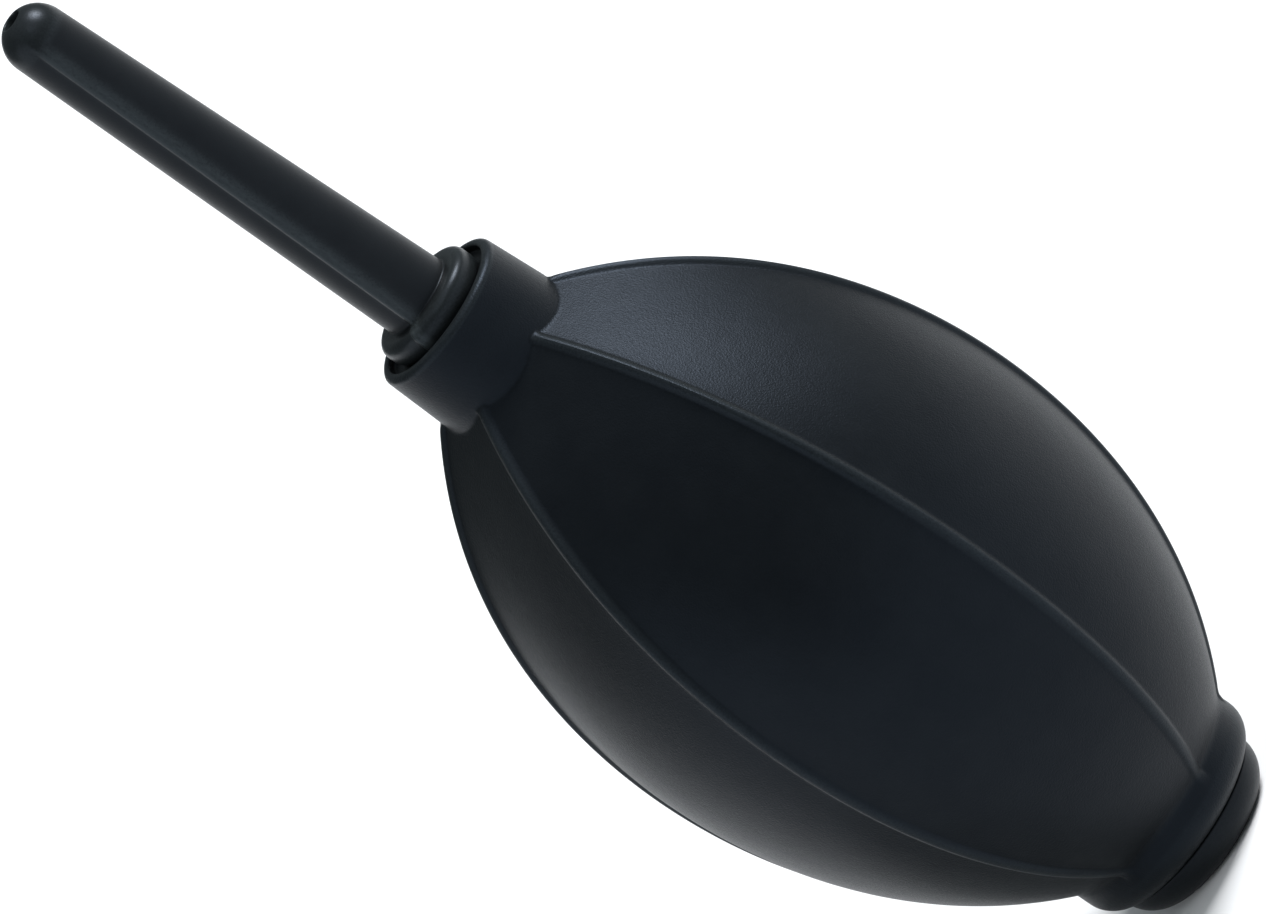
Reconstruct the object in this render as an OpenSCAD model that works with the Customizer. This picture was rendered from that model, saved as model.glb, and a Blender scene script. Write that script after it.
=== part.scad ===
// Dust blower bulb: a ribbed rubber squeeze bulb with a push-in nozzle and two one-way valves.
// Millimetres. The foot rests on Z = 0, and the nozzle points up along +Z on the bulb's axis.

/* [Bulb] */
// Diameter of the belly, measured over the ribs
bulb_d = 58.8; // [48:0.1:71]
// Radius of the arc that the belly's side follows, from tail to neck
meridian_r = 58.5; // [50:0.1:70]
// Thickness of the rubber wall
wall = 2.8; // [1.8:0.1:3.4]
// Number of ribs along the belly
rib_count = 6; // [4:1:10]
// Width of one rib
rib_w = 1.5; // [0.8:0.1:2]
// Height of one rib above the wall
rib_h = 0.45; // [0.2:0.05:0.9]

/* [Neck collar] */
// Thickness of the collar around the bead
collar_wall = 1.6; // [1.2:0.1:3]
// How much wider the collar is where it meets the belly
collar_draft = 0.6; // [0:0.1:1.5]
// Length of the collar that stands out of the belly
collar_len = 7.4; // [6:0.1:12]
// Radius of the collar's rounded outer edge
collar_edge_r = 0.9; // [0.4:0.1:1.1]

/* [Tail] */
// Thickness of the tail ring around its socket
tail_wall = 4.7; // [4.2:0.1:6]
// Length of the tail ring that stands out of the belly
tail_ring_len = 5.3; // [4.4:0.1:7]
// Radius of the tail ring's rounded outer edge
tail_ring_edge_r = 3; // [1:0.1:3.4]
// Depth of the socket that holds the inlet valve
socket_len = 7.5; // [6.2:0.1:9]

/* [Nozzle] */
// Diameter at the root of the nozzle's tube
nozzle_root_d = 9.1; // [8:0.1:10.6]
// Diameter at the nozzle's round tip
nozzle_tip_d = 7.5; // [6:0.1:8]
// Length of the tube, from its bead to the end of its tip
nozzle_len = 52.7; // [30:0.1:80]
// How far the bead stands out past the spigot
bead_overhang = 1.35; // [1.2:0.05:2]
// Thickness of the bead
bead_w = 3.2; // [2.6:0.1:4]
// Radius of the bead's rounded edges
bead_edge_r = 1.1; // [0.4:0.1:1.2]
// Diameter of the air passage through the tube
passage_d = 4; // [3:0.1:4.8]
// Diameter of the jet outlet in the tip
outlet_d = 2.4; // [1.2:0.1:2.9]
// Length of the jet outlet's straight bore
outlet_len = 3.4; // [2:0.1:6]
// Length of the spigot that goes into the neck
spigot_len = 9; // [8.6:0.1:11]
// Diameter of the spigot over its sealing ridges
spigot_d = 10.9; // [10:0.1:13.1]
// Thickness of the spigot's wall, without the ridges
spigot_wall = 1.1; // [0.8:0.1:1.3]
// Number of sealing ridges on the spigot
ridge_count = 3; // [2:1:4]
// Width of one sealing ridge
ridge_w = 1.2; // [0.8:0.1:1.5]
// Height of one sealing ridge
ridge_h = 0.35; // [0.2:0.05:0.5]

/* [Outlet valve] */
// Thickness of the outlet disc
outlet_disc_t = 0.9; // [0.6:0.1:1.2]
// How far the outlet disc lifts off its seat
outlet_lift = 1.2; // [0.6:0.1:1.6]
// How far each guide ear stands out of the outlet disc
ear_len = 0.85; // [0.6:0.05:1]

/* [Inlet valve] */
// Height of the plug that shows under the tail ring
plug_len = 4; // [3.6:0.1:4.8]
// Diameter of the plug's spigot in the tail socket
plug_d = 15.9; // [14.4:0.1:19.1]
// How far the plug's flange stands out past its spigot
flange_overhang = 2.5; // [1.6:0.05:3]
// Radius of the round between the flange's side and the foot
foot_edge_r = 3.8; // [3:0.1:4.4]
// Width of the flat ring that the part stands on
foot_rim = 1.2; // [0.8:0.1:1.6]
// Thickness of the plug's wall around the cage
plug_wall = 1.7; // [1.2:0.1:2]
// Height of the snap lip that holds the plug in the rubber
lip_h = 0.6; // [0.3:0.1:0.9]
// Thickness of the vent cap
vent_cap_t = 1.2; // [0.8:0.1:1.4]
// Diameter of one vent hole
vent_hole_d = 1.4; // [0.8:0.1:1.8]
// Thickness of the foam filter
filter_t = 2; // [1:0.1:2.4]
// Thickness of the cage's wall
cage_wall = 1; // [0.8:0.1:1.2]
// Width of the air gap between the inlet disc and its cage
disc_air_gap = 1; // [0.8:0.1:1.2]
// Thickness of the inlet disc
inlet_disc_t = 0.8; // [0.6:0.1:1]
// How far the inlet disc lifts off its seat
inlet_lift = 1.2; // [0.6:0.1:1.5]
// Number of ports through the inlet seat, of windows in the cage and of outer vent holes
port_count = 6; // [4:1:7]

/* [Fits] */
// Radial clearance between a spigot and its rubber socket
fit_gap = 0.05; // [0.02:0.01:0.1]
// Radial clearance around a piece that is pressed into hard plastic
seat_gap = 0.03; // [0.01:0.01:0.05]
// Gap around a piece that moves freely
free_gap = 0.15; // [0.1:0.05:0.3]
// Gap around the bead in the collar's mouth
bead_gap = 0.6; // [0.3:0.1:0.8]
// How deep the bead sits in the collar's mouth
bead_depth = 1; // [0.5:0.1:1.6]

/* [Hidden] */
$fn = 96;
// Overlap that joins two pieces of one moulding, or carries a cut past a face
eps = 0.5;

// Raised lip that a disc closes on, the same on both seats
seat_lip_h = 0.4;
seat_lip_w = 0.6;
disc_overlap = 0.5;

// Neck, from the spigot outwards
neck_bore_d = spigot_d + 2 * fit_gap;
bead_d = spigot_d + 2 * bead_overhang;
mouth_d = bead_d + 2 * bead_gap;
collar_r = mouth_d / 2 + collar_wall;
collar_root_r = collar_r + collar_draft / 2;

// Tail, from the plug outwards
socket_d = plug_d + 2 * fit_gap;
tail_ring_r = socket_d / 2 + tail_wall;
flange_r = plug_d / 2 + flange_overhang;
foot_r = flange_r - foot_edge_r;

// Belly: every wall arc has its centre on the far side of the axis, at this distance
arc_offset = meridian_r - bulb_d / 2;
outer_arc_r = meridian_r - rib_h;
inner_arc_r = outer_arc_r - wall;
function rise(r) = sqrt(meridian_r * meridian_r - pow(arc_offset + r, 2));

// Heights along the axis
tail_ring_z = plug_len;
cavity_floor_z = tail_ring_z + socket_len;
belly_z = tail_ring_z + tail_ring_len + rise(tail_ring_r);
collar_root_z = belly_z + rise(collar_root_r);
mouth_z = collar_root_z + collar_len;
rib_top_z = mouth_z - collar_len / 2;
bead_z = mouth_z - bead_depth;
tube_z = bead_z + bead_w;
tip_z = tube_z + nozzle_len;
tip_centre_z = tip_z - nozzle_tip_d / 2;
cavity_top_z = mouth_z - spigot_len;

// Outlet valve, from the spigot's end upwards
spigot_end_z = bead_z - spigot_len;
chamber_d = spigot_d - 2 * (ridge_h + spigot_wall);
seat_rim_t = 0.8;
seat_plug_len = 2.5;
outlet_disc_r = chamber_d / 2 - free_gap - ear_len;
outlet_disc_z = spigot_end_z + seat_plug_len + seat_lip_h;
outlet_stop_z = outlet_disc_z + outlet_disc_t + outlet_lift;
stop_rib_len = 2;
stop_rib_w = 0.8;
stop_rib_count = 4;
chamber_top_z = outlet_stop_z + stop_rib_len;
ear_count = 3;
ear_w = 1.6;

// Inlet valve, from the foot upwards
vent_recess = 0.2;
vent_cap_r = foot_r - foot_rim - seat_gap;
vent_border = 1.45;
vent_circle_r = vent_cap_r - vent_border - vent_hole_d / 2;
filter_z = vent_recess + vent_cap_t;
web_z = filter_z + filter_t;
web_top_z = web_z + 1.4;
cage_r = plug_d / 2 - plug_wall - seat_gap;
cage_inner_r = cage_r - cage_wall;
inlet_disc_r = cage_inner_r - disc_air_gap;
inlet_disc_z = web_top_z + seat_lip_h;
cage_plate_z = inlet_disc_z + inlet_disc_t + inlet_lift;
cage_top_z = cage_plate_z + 1.2;
guide_pin_r = 0.9;
seat_inner_r = inlet_disc_r - disc_overlap - seat_lip_w;
port_border = 0.4;
port_d = seat_inner_r - guide_pin_r - 2 * port_border;
port_circle_r = (seat_inner_r + guide_pin_r) / 2;
window_d = 1.8;
window_circle_r = cage_inner_r - window_d / 2 - 0.1;
snap_lip_z = cavity_floor_z + fit_gap;
snap_lip_len = 1.6;
plug_top_z = snap_lip_z + snap_lip_len;

// Half-profile of a disc whose lower outer edge is rounded. The round may be higher than the disc.
module disc_profile(r, z0, z1, edge_r) {
    intersection() {
        union() {
            translate([0, z0]) square([r - edge_r, z1 - z0]);
            translate([r - edge_r, z0 + edge_r]) circle(edge_r);
            translate([0, z0 + edge_r]) square([r, z1 - z0]);
        }
        translate([0, z0]) square([r, z1 - z0]);
    }
}

// Half-profile of the space inside one belly arc, between two heights
module belly_profile(arc_r, z0, z1) {
    intersection() {
        translate([-arc_offset, belly_z]) circle(arc_r);
        translate([0, z0]) square([bulb_d, z1 - z0]);
    }
}

// Half-profile of the collar, from inside the belly to its rounded mouth
module collar_profile() {
    shoulder_z = mouth_z - collar_edge_r;
    polygon([[0, collar_root_z - wall], [collar_root_r, collar_root_z - wall],
             [collar_root_r, collar_root_z], [collar_r, shoulder_z], [0, shoulder_z]]);
    translate([0, shoulder_z - eps]) square([collar_r - collar_edge_r, collar_edge_r + eps]);
    translate([collar_r - collar_edge_r, shoulder_z]) circle(collar_edge_r);
}

// Round holes or pins on a circle, all the same height
module ring_of_cylinders(count, circle_r, d, z, h) {
    for (i = [0 : count - 1]) rotate([0, 0, i * 360 / count])
        translate([circle_r, 0, z]) cylinder(d = d, h = h);
}

// Ribs: thin radial plates, cut to the belly's full outline
module ribs() {
    intersection() {
        rotate_extrude() belly_profile(meridian_r, tail_ring_z + tail_ring_edge_r, rib_top_z);
        for (i = [0 : rib_count - 1]) rotate([0, 0, i * 360 / rib_count])
            translate([0, -rib_w / 2, 0]) cube([bulb_d, rib_w, tip_z]);
    }
}

// Half-profile of the bulb's outside, without the ribs
module bulb_outside() {
    belly_profile(outer_arc_r, cavity_floor_z - wall, rib_top_z);
    collar_profile();
    disc_profile(tail_ring_r, tail_ring_z, cavity_floor_z, tail_ring_edge_r);
}

// Half-profile of the space inside: socket, cavity, neck bore and the collar's mouth
module bulb_inside() {
    belly_profile(inner_arc_r, cavity_floor_z, cavity_top_z);
    square([socket_d / 2, belly_z]);
    translate([0, belly_z]) square([neck_bore_d / 2, tip_z]);
    translate([0, bead_z]) square([mouth_d / 2, tip_z]);
}

module bulb() {
    color("#1b1e22") difference() {
        union() {
            rotate_extrude() bulb_outside();
            ribs();
        }
        rotate_extrude() bulb_inside();
    }
}

// Half-profile of the bead: a disc with both outer edges rounded
module bead_profile() {
    edge_x = bead_d / 2 - bead_edge_r;
    square([edge_x, bead_w]);
    translate([0, bead_edge_r]) square([bead_d / 2, bead_w - 2 * bead_edge_r]);
    for (y = [bead_edge_r, bead_w - bead_edge_r]) translate([edge_x, y]) circle(bead_edge_r);
}

// Half-profile of the nozzle's outside: tube, round tip, bead and ridged spigot
module nozzle_outside() {
    ridge_pitch = (spigot_len - ridge_w) / ridge_count;
    intersection() {
        translate([0, tip_centre_z]) circle(nozzle_tip_d / 2);
        translate([0, tip_centre_z]) square(nozzle_tip_d);
    }
    polygon([[0, bead_z + eps], [nozzle_root_d / 2, bead_z + eps], [nozzle_root_d / 2, tube_z],
             [nozzle_tip_d / 2, tip_centre_z], [0, tip_centre_z]]);
    translate([0, bead_z]) bead_profile();
    translate([0, spigot_end_z]) square([spigot_d / 2 - ridge_h, spigot_len + eps]);
    for (i = [0 : ridge_count - 1])
        translate([0, spigot_end_z + ridge_w / 2 + i * ridge_pitch]) square([spigot_d / 2, ridge_w]);
}

// Half-profile of the air way through the nozzle, from the valve chamber to the jet outlet
module nozzle_inside() {
    cone_top_z = tip_z - outlet_len;
    cone_z = cone_top_z - (passage_d - outlet_d) / 2;
    translate([0, spigot_end_z - eps]) square([chamber_d / 2, chamber_top_z - spigot_end_z + eps]);
    polygon([[0, chamber_top_z - eps], [passage_d / 2, chamber_top_z - eps], [passage_d / 2, cone_z],
             [outlet_d / 2, cone_top_z], [outlet_d / 2, tip_z + eps], [0, tip_z + eps]]);
}

module nozzle() {
    color("#17191c") {
        rotate_extrude() difference() {
            nozzle_outside();
            nozzle_inside();
        }
        // Stop ribs that keep the lifted disc off the passage
        for (i = [0 : stop_rib_count - 1]) rotate([0, 0, (i + 0.5) * 360 / stop_rib_count])
            translate([passage_d / 2, -stop_rib_w / 2, outlet_stop_z])
                cube([(chamber_d - passage_d) / 2 + eps, stop_rib_w, stop_rib_len + eps]);
    }
}

module outlet_valve_seat() {
    plug_r = chamber_d / 2 - seat_gap;
    bore_r = outlet_disc_r - disc_overlap - seat_lip_w;
    color("gainsboro") rotate_extrude() {
        translate([bore_r, spigot_end_z - seat_rim_t])
            square([spigot_d / 2 - ridge_h - bore_r, seat_rim_t]);
        translate([bore_r, spigot_end_z - eps]) square([plug_r - bore_r, seat_plug_len + eps]);
        translate([bore_r, spigot_end_z]) square([seat_lip_w, seat_plug_len + seat_lip_h]);
    }
}

module outlet_valve_disc() {
    color("tomato") translate([0, 0, outlet_disc_z]) intersection() {
        cylinder(r = outlet_disc_r + ear_len, h = outlet_disc_t);
        union() {
            cylinder(r = outlet_disc_r, h = outlet_disc_t);
            for (i = [0 : ear_count - 1]) rotate([0, 0, i * 360 / ear_count])
                translate([0, -ear_w / 2, 0]) cube([chamber_d, ear_w, outlet_disc_t]);
        }
    }
}

// Half-profile of the plug: rounded foot, spigot and snap lip, hollow for the vent cap and the cage
module plug_profile() {
    difference() {
        union() {
            disc_profile(flange_r, 0, plug_len, foot_edge_r);
            translate([0, plug_len - eps]) square([plug_d / 2, plug_top_z - plug_len + eps]);
            translate([0, snap_lip_z]) polygon([[0, 0], [plug_d / 2 + lip_h, 0], [plug_d / 2, snap_lip_len],
                                                [0, snap_lip_len]]);
        }
        square([vent_cap_r + seat_gap, web_z]);
        translate([0, web_top_z]) square([cage_r + seat_gap, plug_top_z]);
    }
}

module inlet_valve_housing() {
    web_h = web_top_z - web_z;
    color("#202327") {
        difference() {
            rotate_extrude() plug_profile();
            ring_of_cylinders(port_count, port_circle_r, port_d, web_z - eps, web_h + 2 * eps);
        }
        // Raised lip that the disc closes on, and the pin that guides the disc
        rotate_extrude() translate([seat_inner_r, web_top_z - eps]) square([seat_lip_w, seat_lip_h + eps]);
        translate([0, 0, web_top_z - eps]) cylinder(r = guide_pin_r, h = cage_top_z - web_top_z + eps);
    }
}

module inlet_valve_cage() {
    cage_h = cage_top_z - web_top_z;
    plate_h = cage_top_z - cage_plate_z;
    color("gainsboro") difference() {
        translate([0, 0, web_top_z]) cylinder(r = cage_r, h = cage_h);
        translate([0, 0, web_top_z - eps]) cylinder(r = cage_inner_r, h = cage_h - plate_h + eps);
        translate([0, 0, web_z]) cylinder(r = guide_pin_r + seat_gap, h = plug_top_z);
        ring_of_cylinders(port_count, window_circle_r, window_d, cage_plate_z - eps, plate_h + 2 * eps);
    }
}

module inlet_valve_disc() {
    color("tomato") translate([0, 0, inlet_disc_z]) difference() {
        cylinder(r = inlet_disc_r, h = inlet_disc_t);
        translate([0, 0, -eps]) cylinder(r = guide_pin_r + free_gap, h = inlet_disc_t + 2 * eps);
    }
}

module inlet_filter() {
    color("dimgray") translate([0, 0, filter_z]) cylinder(r = vent_cap_r, h = filter_t);
}

module inlet_vent_cap() {
    color("#202327") translate([0, 0, vent_recess]) difference() {
        cylinder(r = vent_cap_r, h = vent_cap_t);
        translate([0, 0, -eps]) cylinder(d = vent_hole_d, h = vent_cap_t + 2 * eps);
        ring_of_cylinders(port_count, vent_circle_r, vent_hole_d, -eps, vent_cap_t + 2 * eps);
    }
}

bulb();
nozzle();
outlet_valve_seat();
outlet_valve_disc();
inlet_valve_housing();
inlet_valve_cage();
inlet_valve_disc();
inlet_filter();
inlet_vent_cap();
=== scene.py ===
"""A dust blower bulb: a ribbed rubber squeeze bulb, a push-in nozzle and two one-way valves.

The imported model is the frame. The rubber bulb, the nozzle, the inlet valve's housing and its vent
cap get finer meshes than the frame's. The other valve pieces keep theirs and get their own finish.
Lengths are metres. The bulb stands on its foot at Z = 0 and its nozzle points up along +Z.
"""
import logging
import math
from dataclasses import dataclass, field
from enum import Enum

import bmesh
import bpy
import numpy as np
from mathutils import Matrix, Vector


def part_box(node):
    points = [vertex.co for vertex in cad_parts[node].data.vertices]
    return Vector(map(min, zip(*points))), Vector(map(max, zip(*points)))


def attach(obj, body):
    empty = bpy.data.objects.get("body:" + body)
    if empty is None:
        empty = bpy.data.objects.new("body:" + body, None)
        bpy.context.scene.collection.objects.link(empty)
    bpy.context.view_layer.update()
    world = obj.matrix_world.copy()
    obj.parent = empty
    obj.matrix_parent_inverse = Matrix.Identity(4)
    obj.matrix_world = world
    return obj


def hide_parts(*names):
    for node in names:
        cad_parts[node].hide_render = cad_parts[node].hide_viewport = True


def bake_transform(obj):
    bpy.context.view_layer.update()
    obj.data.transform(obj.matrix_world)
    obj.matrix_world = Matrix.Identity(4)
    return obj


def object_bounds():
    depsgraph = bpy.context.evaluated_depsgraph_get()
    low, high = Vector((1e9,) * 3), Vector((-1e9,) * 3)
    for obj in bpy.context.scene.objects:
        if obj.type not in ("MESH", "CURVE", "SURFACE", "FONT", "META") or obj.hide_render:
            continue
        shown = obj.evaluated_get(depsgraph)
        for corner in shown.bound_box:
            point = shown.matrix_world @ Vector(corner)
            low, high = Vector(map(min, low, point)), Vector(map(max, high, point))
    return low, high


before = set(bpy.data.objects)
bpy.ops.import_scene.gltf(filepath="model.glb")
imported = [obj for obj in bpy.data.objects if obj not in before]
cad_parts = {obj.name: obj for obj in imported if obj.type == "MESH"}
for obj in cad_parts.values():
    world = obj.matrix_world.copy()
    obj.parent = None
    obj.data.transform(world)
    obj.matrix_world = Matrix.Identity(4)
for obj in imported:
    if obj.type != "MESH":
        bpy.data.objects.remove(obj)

CAD_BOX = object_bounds()
MM = 0.001
WEAR_AND_HIGHLIGHT = "wear_and_highlight"  # vertex attribute: how much handling has polished a spot and how much painted highlight lightens it, from 0 to 1
log = logging.getLogger("dust_blower")


class Body(str, Enum):
    """The frame's bodies that the new meshes ride on."""

    BULB = "bulb"
    TAIL_VALVE = "tail_valve"
    NOZZLE = "nozzle"


class Slot(str, Enum):
    """The record's material slots."""

    BULB_RUBBER = "bulb_rubber"
    NOZZLE_PLASTIC = "nozzle_plastic"
    HOUSING_PLASTIC = "housing_plastic"


class Skin(Enum):
    """How a ring of a lofted mesh gets its radius."""

    ROUND = "one radius all round"
    OUTSIDE = "the ribbed and panelled outside"
    INSIDE = "the panelled inside of the wall"
    RIDGED = "round, with the ridges standing on it"


@dataclass(frozen=True)
class Station:
    """One ring of a lofted mesh.

    Attributes:
        radius: Radius at a ridge's foot.
        z: Height.
        skin: How the radius runs round the ring.
        wear_and_highlight: How polished the ring is, and how much painted highlight lightens it, from 0 to 1.
    """

    radius: float
    z: float
    skin: Skin = Skin.ROUND
    wear_and_highlight: float = 0.0


def linear(hex_colour: str) -> tuple[float, float, float, float]:
    """Turns an sRGB colour into the linear one that a shader takes.

    Args:
        hex_colour: The colour as "#rrggbb".

    Returns:
        Linear red, green, blue and full alpha.
    """
    parts = [int(hex_colour[i : i + 2], 16) / 255 for i in (1, 3, 5)]
    red, green, blue = (c / 12.92 if c <= 0.04045 else ((c + 0.055) / 1.055) ** 2.4 for c in parts)
    return red, green, blue, 1.0


def smoothstep(start: float, end: float, value: float | np.ndarray) -> float | np.ndarray:
    """Rises gently from 0 at start to 1 at end.

    Args:
        start: Where the rise begins.
        end: Where it ends, on either side of start.
        value: The place to ask about.

    Returns:
        The height there.
    """
    t = np.clip((value - start) / (end - start), 0.0, 1.0)
    return t * t * (3 - 2 * t)


def filleted_max(a: np.ndarray, b: np.ndarray, fillet: float) -> np.ndarray:
    """The larger of two radii, with a soft fillet where they cross.

    Args:
        a: First surface.
        b: Second surface.
        fillet: Difference of radius within which the two melt together.

    Returns:
        The joined surface.
    """
    closeness = np.maximum(fillet - np.abs(a - b), 0.0) / fillet
    return np.maximum(a, b) + closeness * closeness * fillet / 4


def arc(centre: tuple[float, float], radius: float, start: float, end: float, steps: int) -> list[tuple]:
    """Points on an arc of a half-profile.

    Args:
        centre: Radius and height of the arc's centre.
        radius: The arc's own radius.
        start: First angle in degrees, from straight outwards towards +Z.
        end: Last angle in degrees.
        steps: Number of stretches between the points.

    Returns:
        Pairs of radius and height, both ends included.
    """
    angles = np.radians(np.linspace(start, end, steps + 1))
    return [(centre[0] + radius * math.cos(t), centre[1] + radius * math.sin(t)) for t in angles]


@dataclass(frozen=True)
class RidgedColumns:
    """Columns of a lofted grid, gathered round evenly spaced raised ridges.

    Attributes:
        count: Number of ridges.
        width: Width of one ridge.
        height: Height of one ridge.
        per_ridge: Columns across one ridge.
        per_panel: Columns between two ridges.
        first: Angle of the first ridge, in radians.
        flank: Half-width at which the ridge has dropped away, in ridge widths.
        bank: Height of a soft bank under each ridge, as a share of the ridge's height.
        bank_width: Half-width of the bank, in ridge widths.
        bank_side: How far the bank lies to one side, in ridge widths.
        reach: How far the ridge's columns go to each side, in ridge widths.
    """

    count: int
    width: float
    height: float
    per_ridge: int
    per_panel: int
    first: float = 0.0
    flank: float = 0.42
    bank: float = 0.0
    bank_width: float = 1.2
    bank_side: float = 0.0
    reach: float = 0.68

    def offsets(self) -> np.ndarray:
        """Sideways places of one ridge's columns, just past both its sides."""
        return np.linspace(-self.reach, self.reach, self.per_ridge) * self.width

    def angles(self, radius: float, turn: float = 0.0) -> np.ndarray:
        """Angles of all columns on one ring, where the ridges keep their width at any radius.

        Args:
            radius: The ring's radius.
            turn: Extra angle of every ridge at this ring.

        Returns:
            The angles in radians.
        """
        pitch = 2 * math.pi / self.count
        ridge = self.offsets() / radius
        panel = np.linspace(ridge[-1], pitch + ridge[0], self.per_panel + 2)[1:-1]
        starts = self.first + turn + np.arange(self.count)[:, None] * pitch
        return (starts + np.concatenate([ridge, panel])).ravel()

    def crests(self) -> np.ndarray:
        """Share of the full ridge height at each column: round on top, filleted at its sides."""
        sideways = self.offsets() / self.width
        bank = self.bank * np.exp(-(((sideways - self.bank_side) / self.bank_width) ** 2))
        ridge = np.exp(-((sideways / self.flank) ** 4)) + bank
        return np.tile(np.concatenate([ridge, np.zeros(self.per_panel)]), self.count)


def ring(angles: np.ndarray, radius: np.ndarray | float, z: float) -> np.ndarray:
    """Points of one ring, as rows of X, Y and Z."""
    return np.stack([radius * np.cos(angles), radius * np.sin(angles), np.full(len(angles), z)], axis=1)


def loft(name: str, rings: list[np.ndarray], wear_and_highlight: list[np.ndarray],
         closed: bool = True) -> bpy.types.Object:
    """Joins rings into one watertight skin.

    Args:
        name: Name of the new object.
        rings: Rings in order, up the outside and down the inside.
        wear_and_highlight: Wear and painted highlight of each ring's points.
        closed: Whether the last ring joins the first; if not, both are points on the axis.

    Returns:
        The new object, with no parent and no material.
    """
    columns, rows = len(rings[0]), len(rings)
    faces = []
    for i in range(rows if closed else rows - 1):
        low, high = i * columns, (i + 1) % rows * columns
        for j in range(columns):
            k = (j + 1) % columns
            faces.append((low + j, low + k, high + k, high + j))
    mesh = bpy.data.meshes.new(name)
    mesh.from_pydata(np.concatenate(rings).tolist(), [], faces)
    attribute = mesh.attributes.new(WEAR_AND_HIGHLIGHT, "FLOAT", "POINT")
    attribute.data.foreach_set("value", np.concatenate(wear_and_highlight).astype(np.float32))
    if not closed:
        weld_poles(mesh)
    return show(name, mesh)


def weld_poles(mesh: bpy.types.Mesh) -> None:
    """Turns rings that have shrunk to a point on the axis into that one point."""
    grid = bmesh.new()
    grid.from_mesh(mesh)
    bmesh.ops.remove_doubles(grid, verts=grid.verts, dist=1e-7)
    grid.to_mesh(mesh)
    grid.free()


def soften(mesh: bpy.types.Mesh) -> None:
    """Shades a mesh smooth but for its true edges."""
    true_edge = math.radians(38)
    mesh.polygons.foreach_set("use_smooth", [True] * len(mesh.polygons))
    mesh.set_sharp_from_angle(angle=true_edge)
    mesh.validate()


def show(name: str, mesh: bpy.types.Mesh) -> bpy.types.Object:
    """Softens a mesh and puts it in the scene.

    Args:
        name: Name of the new object.
        mesh: Its mesh.

    Returns:
        The new object.
    """
    soften(mesh)
    piece = bpy.data.objects.new(name, mesh)
    bpy.context.scene.collection.objects.link(piece)
    return piece


def drill(piece: bpy.types.Object, centres: list[tuple[float, float]], radius: float,
          span: tuple[float, float]) -> None:
    """Bores round holes along Z.

    Args:
        piece: The piece that gets them.
        centres: X and Y of each hole.
        radius: Radius of a hole.
        span: Lowest and highest Z of the drill.
    """
    sides = 36
    angles = np.arange(sides) * 2 * math.pi / sides
    points, faces = [], []
    for x, y in centres:
        start = len(points)
        for z in span:
            points += (ring(angles, radius, z) + (x, y, 0.0)).tolist()
        for j in range(sides):
            k = (j + 1) % sides
            faces.append((start + j, start + k, start + sides + k, start + sides + j))
        faces += [tuple(start + j for j in reversed(range(sides))),
                  tuple(start + sides + j for j in range(sides))]
    mesh = bpy.data.meshes.new("drill")
    mesh.from_pydata(points, [], faces)
    tool = show("drill", mesh)
    cut = piece.modifiers.new("drill", "BOOLEAN")
    cut.operation, cut.solver, cut.object = "DIFFERENCE", "EXACT", tool
    bored = bpy.data.meshes.new_from_object(piece.evaluated_get(bpy.context.evaluated_depsgraph_get()))
    piece.modifiers.clear()
    piece.data = bored
    bpy.data.objects.remove(tool)
    soften(bored)


def add_node(tree: bpy.types.NodeTree, kind: str, settings: dict | None = None,
             inputs: dict | None = None) -> bpy.types.Node:
    """Adds a node with its settings and links.

    Args:
        tree: The tree that gets the node.
        kind: The node's type.
        settings: Attributes of the node.
        inputs: Value or linked output for each input, by name or number.

    Returns:
        The new node.
    """
    node = tree.nodes.new(kind)
    for name, value in (settings or {}).items():
        setattr(node, name, value)
    for name, value in (inputs or {}).items():
        if isinstance(value, bpy.types.NodeSocket):
            tree.links.new(value, node.inputs[name])
        else:
            node.inputs[name].default_value = value
    return node


COLOUR_A, COLOUR_B, COLOUR_OUT = 6, 7, 2  # colour sockets of the Mix node


@dataclass(frozen=True)
class Finish:
    """What a piece is made of and how its surface was made.

    Attributes:
        name: Name of the stuff and of the way it was made.
    """

    name: str

    def make(self) -> bpy.types.Material:
        """Builds the material once, for all the pieces that share it.

        Returns:
            The material.
        """
        if self.name not in bpy.data.materials:
            material = bpy.data.materials.new(self.name)
            material.use_nodes = True
            tree = material.node_tree
            tree.nodes.clear()
            place = add_node(tree, "ShaderNodeTexCoord").outputs["Object"]
            shader = self.shade(tree, place)
            add_node(tree, "ShaderNodeOutputMaterial", inputs={"Surface": shader.outputs["BSDF"]})
        return bpy.data.materials[self.name]

    def shade(self, tree: bpy.types.NodeTree, place: bpy.types.NodeSocket) -> bpy.types.Node:
        """Adds the finish's own nodes.

        Args:
            tree: The material's tree.
            place: Where on the piece, in metres.

        Returns:
            The shader.
        """
        raise NotImplementedError


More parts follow.
